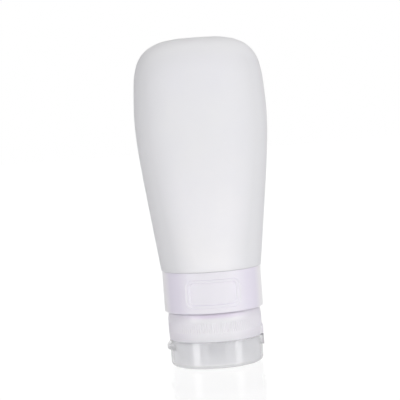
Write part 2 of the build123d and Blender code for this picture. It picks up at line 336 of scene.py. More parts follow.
class Effect:
    """A shader node group under construction, with named inputs and outputs."""

    def __init__(self, name: str, **inputs: float | Colour) -> None:
        """Start a group.

        Args:
            name: The effect's name.
            inputs: Its inputs, with spaces as underscores, and their values where a material sets none.
        """
        self.tree = bpy.data.node_groups.new(name, "ShaderNodeTree")
        self.entry = self.tree.nodes.new("NodeGroupInput")
        self.exit = self.tree.nodes.new("NodeGroupOutput")
        for key, value in inputs.items():
            socket = self.socket(key.replace("_", " "), "INPUT", isinstance(value, tuple))
            socket.default_value = (*value, 1.0) if isinstance(value, tuple) else value

    def socket(self, name: str, side: str, coloured: bool) -> bpy.types.NodeTreeInterfaceSocket:
        """Add a socket of one kind to the input or the output side."""
        kind = "NodeSocketColor" if coloured else "NodeSocketFloat"
        return self.tree.interface.new_socket(name, in_out=side, socket_type=kind)

    def __getitem__(self, name: str) -> Socket:
        """The socket that carries a named input inside the group."""
        return self.entry.outputs[name]

    def put_out(self, name: str, source: Socket) -> None:
        """Add a named output of the kind of the socket that feeds it."""
        self.socket(name, "OUTPUT", source.type == "RGBA")
        self.tree.links.new(source, self.exit.inputs[name])


def place(tree: Tree, kind: str, settings: dict | None = None, **inputs: object) -> bpy.types.Node:
    """Add a shader node and fill its inputs.

    Args:
        tree: The tree to add to.
        kind: The node's type without its ShaderNode prefix.
        settings: Attributes of the node itself.
        inputs: Input names, with spaces as underscores, and the value or socket for each.

    Returns:
        The new node.
    """
    node = tree.nodes.new(f"ShaderNode{kind}")
    for name, value in (settings or {}).items():
        setattr(node, name, value)
    for name, value in inputs.items():
        fill(tree, node.inputs[name.replace("_", " ")], value)
    return node


def fill(tree: Tree, socket: Socket, value: object) -> None:
    """Link a socket to another one, or set its value."""
    if isinstance(value, Socket):
        tree.links.new(value, socket)
    elif socket.type == "RGBA" and len(value) == 3:
        socket.default_value = (*value, 1.0)
    else:
        socket.default_value = value


def calculated(tree: Tree, operation: str, first: object, second: object) -> Socket:
    """Result of a math node on two values or sockets."""
    node = place(tree, "Math", {"operation": operation})
    fill(tree, node.inputs[0], first)
    fill(tree, node.inputs[1], second)
    return node.outputs[0]


def blended(tree: Tree, share: object, first: object, second: object) -> Socket:
    """Colour between two colours by a share."""
    node = place(tree, "Mix", {"data_type": "RGBA"})
    for index, value in ((0, share), (6, first), (7, second)):
        fill(tree, node.inputs[index], value)
    return node.outputs[2]


def ramp(tree: Tree, value: object, start: object, end: object, **more: object) -> Socket:
    """Share that climbs from 0 to 1 as a value goes from a start to an end."""
    return place(tree, "MapRange", Value=value, From_Min=start, From_Max=end, **more).outputs["Result"]


def noise(tree: Tree, scale: object, spot: Socket | None = None, **more: float) -> Socket:
    """Noise over a piece's own space, or over another one."""
    spot = spot or place(tree, "TexCoord").outputs["Object"]
    return place(tree, "TexNoise", Vector=spot, Scale=scale, **more).outputs["Fac"]


@cache
def moulded_grain() -> Tree:
    """Height of the fine skin that a mould leaves: a close grain over a slow unevenness."""
    effect = Effect("moulded_grain", Grain_Scale=2500.0, Wave_Scale=60.0, Wave_Share=0.4)
    tree = effect.tree
    grain = noise(tree, effect["Grain Scale"], Detail=3.0, Roughness=0.6)
    wave = noise(tree, effect["Wave Scale"], Detail=2.0)
    height = place(tree, "Mix", {"data_type": "FLOAT"})
    for index, value in ((0, effect["Wave Share"]), (2, grain), (3, wave)):
        fill(tree, height.inputs[index], value)
    effect.put_out("Height", height.outputs[0])
    return tree


@cache
def cloudy_tint() -> Tree:
    """Slow drift of colour and gloss in translucent plastic or silicone."""
    effect = Effect(
        "cloudy_tint", Colour=GREY, Cloud_Colour=GREY, Cloud_Share=0.3, Cloud_Low=0.3, Cloud_High=0.7,
        Scale=40.0, Roughness=0.4, Roughness_Drift=0.08,
    )
    tree = effect.tree
    cloud = noise(tree, effect["Scale"], Detail=4.0, Roughness=0.55)
    drift = ramp(tree, cloud, effect["Cloud Low"], effect["Cloud High"])
    share = calculated(tree, "MULTIPLY", drift, effect["Cloud Share"])
    effect.put_out("Colour", blended(tree, share, effect["Colour"], effect["Cloud Colour"]))
    swing = calculated(tree, "MULTIPLY", drift, effect["Roughness Drift"])
    effect.put_out("Roughness", calculated(tree, "ADD", effect["Roughness"], swing))
    return tree


@cache
def painted_level_shade() -> Tree:
    """Painted shade: colour that changes along the bottle's axis between two heights, given in metres, where
    light falls unevenly.
    """
    effect = Effect("painted_level_shade", Low_Colour=GREY, High_Colour=GREY, Low_Level=0.0, High_Level=0.1)
    tree = effect.tree
    level = place(tree, "SeparateXYZ", Vector=place(tree, "TexCoord").outputs["Object"]).outputs["Z"]
    eased = {"interpolation_type": "SMOOTHSTEP"}
    share = ramp(tree, level, effect["Low Level"], effect["High Level"], settings=eased)
    effect.put_out("Colour", blended(tree, share, effect["Low Colour"], effect["High Colour"]))
    return tree


@cache
def rim_shade_and_edge_highlight() -> Tree:
    """Painted light on thick translucent walls: a painted shade where they curve away from the view, and a
    painted highlight or the same shade at their very edge.
    """
    effect = Effect(
        "rim_shade_and_edge_highlight", Facing=0.0, Colour=GREY, Rim_Colour=GREY, Edge_Colour=GREY,
        Rim_Start=0.05, Rim_End=0.3, Edge_Start=0.5, Edge_End=0.72,
    )
    tree, tint_and_shade = effect.tree, effect["Colour"]
    for part in ("Rim", "Edge"):
        share = ramp(tree, effect["Facing"], effect[f"{part} Start"], effect[f"{part} End"])
        tint_and_shade = blended(tree, share, tint_and_shade, effect[f"{part} Colour"])
    effect.put_out("Colour", tint_and_shade)
    return tree


@cache
def handled_edges() -> Tree:
    """Mask of rubbed edges and faint scuffs, where handling has polished or greyed a surface."""
    effect = Effect(
        "handled_edges", Flat=0.5, Edge_Width=0.06,
        Scuff_Scale=300.0, Scuff_Share=0.2, Scuff_Low=0.58, Scuff_High=0.72,
    )
    tree = effect.tree
    point = place(tree, "NewGeometry").outputs["Pointiness"]
    edge = ramp(tree, point, effect["Flat"], calculated(tree, "ADD", effect["Flat"], effect["Edge Width"]))
    spot = place(tree, "TexCoord").outputs["Object"]
    streak = place(tree, "Mapping", Vector=spot, Scale=(1.0, 1.0, 0.25)).outputs["Vector"]
    scuff = noise(tree, effect["Scuff Scale"], streak, Detail=5.0)
    scuff = ramp(tree, scuff, effect["Scuff Low"], effect["Scuff High"])
    scuff = calculated(tree, "MULTIPLY", scuff, effect["Scuff Share"])
    effect.put_out("Mask", calculated(tree, "MAXIMUM", edge, scuff))
    return tree


def use(tree: Tree, effect: Tree, **inputs: object) -> bpy.types.Node:
    """Place a shared effect in a material and fill its inputs."""
    return place(tree, "Group", {"node_tree": effect}, **inputs)


def shade_by_level(tree: Tree, low: Colour, high: Colour, levels: Point) -> Socket:
    """Painted shade: colour that passes from one to another between two heights in millimetres."""
    start, end = (level * MM for level in levels)
    tint = use(tree, painted_level_shade(), Low_Colour=low, High_Colour=high, Low_Level=start, High_Level=end)
    return tint.outputs["Colour"]


# Finishes and moving bodies


@dataclass(frozen=True)
class Finish:
    """One moulded finish: colour, clouding, gloss, grain and how much light it lets through.

    Colour may darken upwards between two levels, in millimetres above the closed lid's face, as painted
    shade, and so may the painted rim shade and edge highlight.
    """

    name: str
    slot: str
    colour: Colour
    cloud_colour: Colour
    cloud_share: float = 0.3
    cloud_scale: float = 40.0
    # Painted shade: a darker colour higher up, between two levels
    shaded_high_colour: Colour | None = None
    shade_levels: Point = (0.0, 100.0)
    # Painted rim shade on curving sides and painted highlight at the very edge, which may also change with
    # height
    rim_shade_colour: Colour | None = None
    high_rim_shade_colour: Colour | None = None
    rim_shade_levels: Point = (0.0, 100.0)
    edge_highlight_colour: Colour | None = None
    roughness: float = 0.4
    roughness_drift: float = 0.06
    grain_depth: float = 0.00002
    grain_scale: float = 2500.0
    wear_colour: Colour = (0.9, 0.9, 0.9)
    wear_share: float = 0.15
    transmission: float = 0.0
    refraction: float = 1.49
    specular: float = 0.5
    subsurface: float = 0.0
    subsurface_depth: float = 0.004
    sheen: float = 0.0
    coat: float = 0.0

    @cache
    def material(self) -> bpy.types.Material:
        """The finish's material, built from the shared effects when a piece first needs it."""
        material = bpy.data.materials.new(self.name)
        material.use_nodes = True
        tree = material.node_tree
        shader = tree.nodes["Principled BSDF"]
        # Painted shade: the base colour may darken towards a second colour between two heights
        base: object = self.colour
        if self.shaded_high_colour:
            base = shade_by_level(tree, self.colour, self.shaded_high_colour, self.shade_levels)
        cloud = use(
            tree, cloudy_tint(), Colour=base, Cloud_Colour=self.cloud_colour, Cloud_Share=self.cloud_share,
            Scale=self.cloud_scale, Roughness=self.roughness, Roughness_Drift=self.roughness_drift,
        )
        tint_and_shade = cloud.outputs["Colour"]
        # Painted rim shade and edge highlight, by how far the surface turns from the view
        if self.rim_shade_colour:
            rim: object = self.rim_shade_colour
            if self.high_rim_shade_colour:
                rim = shade_by_level(tree, self.rim_shade_colour, self.high_rim_shade_colour, self.rim_shade_levels)
            tint_and_shade = use(
                tree, rim_shade_and_edge_highlight(), Facing=place(tree, "LayerWeight", Blend=0.5).outputs["Facing"],
                Colour=tint_and_shade, Rim_Colour=rim, Edge_Colour=self.edge_highlight_colour or rim,
            ).outputs["Colour"]
        worn = calculated(tree, "MULTIPLY", use(tree, handled_edges()).outputs["Mask"], self.wear_share)
        grain = use(tree, moulded_grain(), Grain_Scale=self.grain_scale).outputs["Height"]
        sockets = {
            "Base Color": blended(tree, worn, tint_and_shade, self.wear_colour),
            "Roughness": cloud.outputs["Roughness"],
            "Normal": place(tree, "Bump", Distance=self.grain_depth, Height=grain).outputs["Normal"],
            "IOR": self.refraction,
            "Specular IOR Level": self.specular,
            "Transmission Weight": self.transmission,
            "Subsurface Weight": self.subsurface,
            "Subsurface Scale": self.subsurface_depth,
            "Subsurface Radius": (1.0, 1.0, 1.0),
            "Sheen Weight": self.sheen,
            "Coat Weight": self.coat,
        }
        for name, value in sockets.items():
            fill(tree, shader.inputs[name], value)
        return material


class Finishes(Enum):
    """Every finish on the bottle."""

    # Painted shade: the body darkens from 55 to 92 mm up, and its painted rim shade darkens the curving sides
    # but fades over the closed end
    SILICONE = Finish(
        "matt_silicone", "silicone", colour=srgb(241, 240, 242), cloud_colour=srgb(228, 228, 236),
        cloud_share=0.5, cloud_scale=30.0, shaded_high_colour=srgb(234, 234, 236), shade_levels=(55.0, 92.0),
        rim_shade_colour=srgb(226, 226, 229), high_rim_shade_colour=srgb(239, 239, 241), rim_shade_levels=(118.0, 129.0),
        roughness=0.62, specular=0.05, subsurface=0.35, sheen=0.05, wear_share=0.05,
    )
    # Painted light: a darker lilac rim shade on the curving sides and a painted highlight at the very edge
    CLEAR = Finish(
        "milky_collar_plastic", "clear_plastic", colour=srgb(241, 239, 245), cloud_colour=srgb(239, 236, 244),
        rim_shade_colour=srgb(237, 232, 245), edge_highlight_colour=srgb(251, 249, 252), roughness=0.32, roughness_drift=0.04,
        transmission=0.12, specular=0.3, grain_depth=0.000002, grain_scale=400.0, wear_share=0.05,
    )
    LILAC = Finish(
        "lilac_ring_plastic", "lilac_plastic", colour=srgb(233, 222, 243), cloud_colour=srgb(229, 216, 241),
        roughness=0.35, coat=0.2,
    )
    # Painted shade: the cap's top darkens to a lilac tinge just below the collar gap, with a faint painted
    # rim shade
    FROSTED = Finish(
        "frosted_cap_plastic", "frosted_plastic", colour=srgb(249, 248, 251),
        cloud_colour=srgb(246, 245, 250), shaded_high_colour=srgb(240, 230, 246), shade_levels=(19.2, 21.2),
        rim_shade_colour=srgb(246, 243, 250),
        roughness=0.34, specular=0.3, transmission=0.24, grain_depth=0.00001, wear_share=0.05,
    )
    LID = Finish(
        "clear_lid_plastic", "lid_plastic", colour=srgb(243, 243, 245), cloud_colour=srgb(238, 238, 241),
        roughness=0.05, roughness_drift=0.03, transmission=0.67, grain_depth=0.000003, grain_scale=400.0,
    )
    NATURAL = Finish(
        "natural_neck_plastic", "natural_plastic", colour=srgb(251, 249, 252),
        cloud_colour=srgb(249, 246, 251), subsurface=0.2, subsurface_depth=0.001,
    )
    SEAL = Finish(
        "sealing_rubber", "seal_rubber", colour=srgb(226, 226, 232), cloud_colour=srgb(220, 220, 228),
        roughness=0.6,
    )
    VALVE = Finish(
        "valve_silicone", "valve_silicone", colour=srgb(240, 240, 244), cloud_colour=srgb(234, 234, 242),
        roughness=0.5, subsurface=0.3, subsurface_depth=0.001,
    )


class Body(Enum):
    """The moving bodies that new pieces ride on."""

    BOTTLE = "bottle"
    COLLAR = "collar"
    CAP = "cap"
    LID = "lid"


def settle(piece: Piece, finish: Finish, node: str, body: Body) -> Piece:
    """Give a new piece its finish, the CAD node that it stands for and the body that it rides on.

    Args:
        piece: The new piece.
        finish: Its finish.
        node: The CAD node it replaces.
        body: The body it moves with.

    Returns:
        The same piece.
    """
    piece.data.materials.append(finish.material())
    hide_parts(node)
    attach(piece, body.value)
    return piece


# The silicone body


@dataclass(frozen=True)
class DomeCurve:
    """How one half axis of the oval shrinks towards the closed end."""

    taper_share: float
    rise_power: float
    round_power: float

    def left(self, rise: float) -> float:
        """Share of the half axis left at a share of the closed end's height."""
        return (1 - self.taper_share * rise) * (1 - rise**self.rise_power) ** (1 / self.round_power)


@dataclass
class SiliconeBody:
    """The soft squeeze tube: round at the collar, a flattened oval above it, hollow down to its mouth."""

    wall: float = 1.9
    mouth_bore: float = 14.35
    mouth_radius: float = 16.15
    mouth_round: float = 0.3
    root_radius: float = 20.0
    root_band: float = 0.65
    root_round: float = 0.2
    half_width: float = 26.35
    half_depth: float = 19.25
    widest_rise: float = 63.8
    funnel_rise: float = 5.5
    collar_gap: float = 0.15
    flare_lead_share: float = 0.27
    flare_power: int = 6
    depth_swell_share: float = 0.02
    side_dome: DomeCurve = DomeCurve(taper_share=0.06, rise_power=4.7, round_power=2.95)
    depth_dome: DomeCurve = DomeCurve(taper_share=0.1, rise_power=3.2, round_power=2.6)
    last_rise_share: float = 0.993
    square_share: float = 0.22
    square_rise: float = 30.0
    base_dip: float = 0.35
    seam_height: float = 0.05
    seam_width: float = 0.4
    flare_rows: int = 36
    dome_rows: int = 40
    dip_rows: int = 5
    points: int = 256

    def __post_init__(self) -> None:
        """Take the levels from the frame."""
        low, high = node_span("silicone_body")
        self.mouth_level, self.top_level = low.z, high.z
        self.shoulder_level = node_span("window_collar")[1].z + self.collar_gap
        self.oval_start = self.shoulder_level + self.root_band
        self.widest_level = self.shoulder_level + self.widest_rise
        self.dome_height = (self.top_level - self.widest_level) / self.last_rise_share
        seam = self.seam_width / self.half_width
        edges = [side + share * seam for side in (0, math.pi) for share in (-1, -0.5, 0.5, 1)]
        self.angles = even_angles(self.points, edges)

    def half_axes(self, level: float, inset: float) -> Point:
        """Half width and half depth of the oval at a level.

        Args:
            level: The height.
            inset: How far the oval is drawn in, for the inside.

        Returns:
            The two half axes.
        """
        if level <= self.widest_level:
            rise = (level - self.oval_start) / (self.widest_level - self.oval_start)
            flare = (1 + self.flare_lead_share) * rise - self.flare_lead_share * rise**self.flare_power
            width = self.root_radius + (self.half_width - self.root_radius) * flare
            depth = self.root_radius + (self.half_depth - self.root_radius) * rise**2
            depth += self.root_radius * self.depth_swell_share * math.sin(math.pi * rise)
            return width - inset, depth - inset
        rise = (level - self.widest_level) / (self.dome_height - inset)
        width = (self.half_width - inset) * self.side_dome.left(rise)
        return width, (self.half_depth - inset) * self.depth_dome.left(rise)

    def oval(self, level: float, axes: Point, seam: float = 0.0) -> list[Vector]:
        """One ring of the body, squarer towards its closed end.

        Args:
            level: The ring's height.
            axes: Its half width and half depth.
            seam: Height of the mould seam at both narrow sides.

        Returns:
            The ring's points.
        """
        power = 2 + self.square_share * smooth_step((level - self.oval_start) / self.square_rise)
        ring = []
        for angle in self.angles:
            across, along = math.cos(angle), math.sin(angle)
            side = min(off_axis(angle, 0), off_axis(angle, math.pi)) * self.half_width
            ridge = seam * smooth_step(1 - side / self.seam_width)
            x = math.copysign(axes[0] * abs(across) ** (2 / power) + ridge, across)
            y = math.copysign(axes[1] * abs(along) ** (2 / power), along)
            ring.append(Vector((x, y, level)))
        return ring

    def shell(self, start: float, inset: float, seam: float) -> Rings:
        """Rings from a level up to the closed end, closer together towards it.

        Args:
            start: The first level.
            inset: How far the rings are drawn in.
            seam: Height of the mould seam.

        Returns:
            The rings.
        """
        height = (self.dome_height - inset) * self.last_rise_share
        levels = spread(start, self.widest_level, self.flare_rows)
        levels += [self.widest_level + height * (1 - left**2) for left in spread(1, 0, self.dome_rows)[1:]]
        return [self.oval(level, self.half_axes(level, inset), seam) for level in levels]

    def rings(self) -> Rings:
        """Rings from the top of the inside down to the mouth and up the outside to the closed end."""
        mouth = rounded([
            (self.mouth_bore, self.shoulder_level + self.wall / 2, 0),
            (self.mouth_bore, self.mouth_level, self.mouth_round),
            (self.mouth_radius, self.mouth_level, self.mouth_round),
            (self.mouth_radius, self.shoulder_level, self.mouth_round),
            (self.root_radius, self.shoulder_level, self.root_round),
            (self.root_radius, self.oval_start - self.mouth_round / 2, 0),
        ])
        inside = self.shell(self.shoulder_level + self.funnel_rise, self.wall, 0.0)
        outside = self.shell(self.oval_start, 0.0, self.seam_height)
        width, depth = self.half_axes(self.top_level, 0)
        dip = []
        for share in spread(1, 0, self.dip_rows + 1)[1:-1]:
            level = self.top_level - self.base_dip * smooth_step(1 - share)
            dip.append(self.oval(level, (width * share, depth * share)))
        return inside[::-1] + turned_rings(mouth, self.angles) + outside + dip

    def build(self) -> list[Piece]:
        """Build the body."""
        piece = skin("silicone_body_skin", self.rings(), closed=False, edge=Edge.SOFT)
        return [settle(piece, Finishes.SILICONE.value, "silicone_body", Body.BOTTLE)]


# The neck: the hard insert that the silicone grips, and the coloured ring keyed to it


@dataclass
class Neck:
    """The threaded insert with its barbed stub, and the lilac ring that shows through the collar."""

    core_radius: float = 15.45
    barrel_bore: float = 13.75
    flange_radius: float = 17.45
    flange_thickness: float = 1.8
    stub_radius: float = 13.85
    stub_bore: float = 12.55
    barb_height: float = 0.4
    barb_pitch: float = 3.2
    barb_count: int = 4
    first_barb_rise: float = 1.6
    lead_in: float = 1.4
    thread_angle: float = 126.0
    thread_row: float = 0.18
    edge_round: float = 0.2
    ring_bore: float = 16.25
    key_count: int = 3
    key_width: float = 3.0
    key_depth: float = 0.8
    key_clearance: float = 0.1
    sliver: float = 0.0008
    points: int = 360
    thread: ScrewThread = ScrewThread()

    def __post_init__(self) -> None:
        """Take the levels from the frame and place the keys."""
        low, high = node_span("neck_insert")
        self.barrel_end, self.stub_top = low.z, high.z
        self.flange_top = node_span("silicone_body")[0].z
        self.flange_bottom = self.flange_top - self.flange_thickness
        self.ring_top = node_span("label_ring")[1].z
        self.ring_bottom = node_span("label_ring")[0].z + self.key_depth
        self.key_angles = [2 * math.pi * index / self.key_count for index in range(self.key_count)]

    def key_edges(self, width: float) -> list[float]:
        """Angles just inside and just outside both sides of every key.

        Args:
            width: Width of the keys or of their slots.

        Returns:
            The angles.
        """
        half = width / 2 / self.flange_radius
        reaches = [side * (half + step) for side in (-1, 1) for step in (-self.sliver, self.sliver)]
        return [key + reach for key in self.key_angles for reach in reaches]

    def in_key(self, angle: float, width: float) -> bool:
        """Whether an angle lies inside a key or slot of a width."""
        return any(off_axis(angle, key) < width / 2 / self.flange_radius for key in self.key_angles)

    def barbs(self) -> list[Corner]:
        """Saw-tooth corners of the stub that hold the silicone."""
        corners: list[Corner] = []
        for barb in range(self.barb_count):
            level = self.flange_top + self.first_barb_rise + barb * self.barb_pitch
            tip = self.stub_radius + self.barb_height
            corners += [
                (self.stub_radius, level, 0),
                (tip, level, 0),
                (tip, level + self.barb_height, 0),
                (self.stub_radius, level + self.barb_pitch / 2, 0),
            ]
        return corners

    def insert_outline(self) -> list[Point]:
        """Outline of the insert, with close rows on the threaded barrel."""
        slot_radius = self.ring_bore - self.key_clearance
        corners = rounded([
            (self.barrel_bore, self.barrel_end, self.edge_round),
            (self.core_radius, self.barrel_end, self.edge_round),
            (self.core_radius, self.flange_bottom, 0),
            (self.flange_radius, self.flange_bottom, self.edge_round),
            (self.flange_radius, self.flange_top, self.edge_round / 2),
            (slot_radius + self.edge_round / 4, self.flange_top, 0),
            (slot_radius, self.flange_top, 0),
            (self.stub_radius, self.flange_top, 0),
            *self.barbs(),
            (self.stub_radius, self.stub_top, self.edge_round),
            (self.stub_bore, self.stub_top, self.edge_round),
            (self.stub_bore, self.flange_top, self.edge_round),
            (self.barrel_bore, self.flange_bottom, self.edge_round),
        ], arc_steps=3)
        return close_rows(corners, self.core_radius, self.thread_row)

    def insert_shape(self, radius: float, height: float, angle: float) -> Point:
        """Raise the thread on the barrel and sink the key slots into the flange."""
        if meets(radius, self.core_radius) and height < self.flange_bottom - TOUCH:
            start = self.barrel_end + self.lead_in
            return radius + self.thread.lift(height, angle, start, self.thread_angle), height
        outside_slot = radius > self.ring_bore - self.key_clearance + TOUCH
        on_top = height > self.flange_top - self.edge_round
        if outside_slot and on_top and self.in_key(angle, self.slot_width()):
            return radius, height - self.key_depth
        return radius, height

    def slot_width(self) -> float:
        """Width of the slots that take the ring's keys."""
        return self.key_width + 2 * self.key_clearance

    def ring_shape(self, radius: float, height: float, angle: float) -> Point:
        """Draw the keys down from the label ring's lower end."""
        if height < self.ring_bottom + self.edge_round + TOUCH and self.in_key(angle, self.key_width):
            return radius, height - self.key_depth
        return radius, height

    def build(self) -> list[Piece]:
        """Build the insert and the label ring."""
        angles = even_angles(self.points, self.key_edges(self.slot_width()))
        rings = turned_rings(self.insert_outline(), angles, self.insert_shape)
        insert = skin("threaded_neck", rings, closed=True)
        angles = even_angles(self.points, self.key_edges(self.key_width))
        low, high = (self.ring_bore, self.ring_bottom), (self.flange_radius, self.ring_top)
        rings = turned_rings(oblong(low, high, self.edge_round), angles, self.ring_shape)
        ring = skin("lilac_label_ring", rings, closed=True)
        return [
            settle(insert, Finishes.NATURAL.value, "neck_insert", Body.BOTTLE),
            settle(ring, Finishes.LILAC.value, "label_ring", Body.BOTTLE),
        ]


# The clear collar with its framed window


@dataclass
class WindowCollar:
    """The clear sleeve that turns round the label ring, with a bevelled frame round its window."""

    radius: float = 19.7
    bore: float = 17.7
    lip_bore: float = 16.9
    lip_height: float = 1.0
    foot_round: float = 0.35
    top_round: float = 0.15
    small_round: float = 0.15
    window_width: float = 19.2
    window_height: float = 9.0
    window_corner: float = 1.8
    window_rise: float = 2.85
    window_depth: float = 0.75
    frame_width: float = 1.2
    frame_depth: float = 0.35
    bevel: float = 0.3
    foot_reach: float = 0.3
    top_reach: float = 0.07
    fine_step: float = 0.13
    coarse_points: int = 240

    def __post_init__(self) -> None:
        """Take the levels from the frame and centre the window."""
        low, high = node_span("window_collar")
        self.bottom, self.top = low.z - self.foot_reach, high.z + self.top_reach
        self.window_level = low.z + self.window_rise + self.window_height / 2

    def outline(self) -> list[Point]:
        """Outline of the sleeve, with close rows where the window is."""
        lip_bottom = self.top - self.lip_height
        corners = rounded([
            (self.bore, self.bottom, self.small_round),
            (self.radius, self.bottom, self.foot_round),
            (self.radius, self.top, self.top_round),
            (self.lip_bore, self.top, self.small_round),
            (self.lip_bore, lip_bottom, self.small_round),
            (self.bore, lip_bottom, 0),
        ])
        return close_rows(corners, self.radius, self.fine_step)

    def inside(self, x: float, level: float, grow: float) -> float:
        """How deep a point lies inside the window's rounded rectangle.

        Args:
            x: Place across the window.
            level: Height of the point.
            grow: How far the rectangle is grown on each side.

        Returns:
            The distance to the nearest edge, positive inside.
        """
        corner = self.window_corner + grow
        out = abs(x) - self.window_width / 2 - grow + corner
        up = abs(level - self.window_level) - self.window_height / 2 - grow + corner
        outside = math.hypot(max(out, 0), max(up, 0))
        return corner - outside - min(max(out, up), 0)

    def shape(self, radius: float, height: float, angle: float) -> Point:
        """Sink the frame and the window into the front of the sleeve."""
        if radius < self.radius - TOUCH or off_axis(angle, -math.pi / 2) > SECTOR:
            return radius, height
        x = self.radius * math.cos(angle)
        rest = self.window_depth - self.frame_depth
        sunk = self.frame_depth * smooth_step(self.inside(x, height, self.frame_width) / self.bevel)
        sunk += rest * smooth_step(self.inside(x, height, 0) / self.bevel)
        return radius - sunk, height

    def build(self) -> list[Piece]:
        """Build the collar, with close points across its window."""
        reach = self.window_width / 2 + self.frame_width + self.bevel
        places = spread(-reach, reach, 2 * math.ceil(reach / self.fine_step))
        angles = even_angles(self.coarse_points, [math.asin(x / self.radius) - math.pi / 2 for x in places])
        piece = skin("clear_window_collar", turned_rings(self.outline(), angles, self.shape), closed=True)
        return [settle(piece, Finishes.CLEAR.value, "window_collar", Body.COLLAR)]


# The hinge's leaves and strap, and the screw cap


@dataclass
class HingeLeaf:
    """Flat-faced block of the living hinge, drawn out of a round wall."""

    bottom: float
    top: float
    sloped_top: bool = False
    width: float = 11.0
    chamfer: float = 0.6
    sliver: float = 0.02

    def __post_init__(self) -> None:
        """Take the leaf's outer face from the hinge's web."""
        self.face = node_span("hinge_web")[1].x

    def reach(self, height: float, angle: float) -> float:
        """Distance from the axis to the leaf's surface, or 0 where there is no leaf.

        Args:
            height: Height of the point.
            angle: Its angle, with the hinge at 0.

        Returns:
            The distance, in millimetres.
        """
        if not self.bottom < height < self.top or off_axis(angle, 0) > SECTOR:
            return 0.0
        across, along = math.cos(angle), abs(math.sin(angle))
        face = min(self.face, self.face + self.top - self.chamfer - height) if self.sloped_top else self.face
        side = self.width / 2 / max(along, TINY)
        corner = (face + self.width / 2 - self.chamfer) / (across + along)
        return min(face / across, side, corner)

    def edges(self, wall: float) -> list[float]:
        """Angles of the leaf's own edges, on both sides.

        Args:
            wall: Radius of the wall it stands on.

        Returns:
            The angles.
        """
        half = self.width / 2
        corners = ((self.face - self.chamfer, half), (self.face, half - self.chamfer))
        angles = [math.asin(half / wall), *(math.atan2(y, x) for x, y in corners)]
        return [side * angle for angle in angles for side in (-1, 1)]

    def rows(self) -> list[float]:
        """Heights where a wall needs rows to carry the leaf."""
        edges = [level + step for level in (self.bottom, self.top) for step in (-self.sliver, self.sliver)]
        return edges + ([self.top - self.chamfer] if self.sloped_top else [])


def with_rows(outline: list[Point], radius: float, heights: list[float]) -> list[Point]:
    """Add rows at given heights to the part of an outline that climbs an outer wall.

    Args:
        outline: The outline.
        radius: Least radius of the wall.
        heights: The heights of the rows.

    Returns:
        The outline with the rows added.
    """
    result: list[Point] = []
    for start, end in zip(outline, outline[1:] + outline[:1]):
        result.append(start)
        if min(start[0], end[0]) < radius or end[1] <= start[1]:
            continue
        for height in sorted(heights):
            if start[1] + TOUCH < height < end[1] - TOUCH:
                share = (height - start[1]) / (end[1] - start[1])
                result.append((start[0] + (end[0] - start[0]) * share, height))
    return result


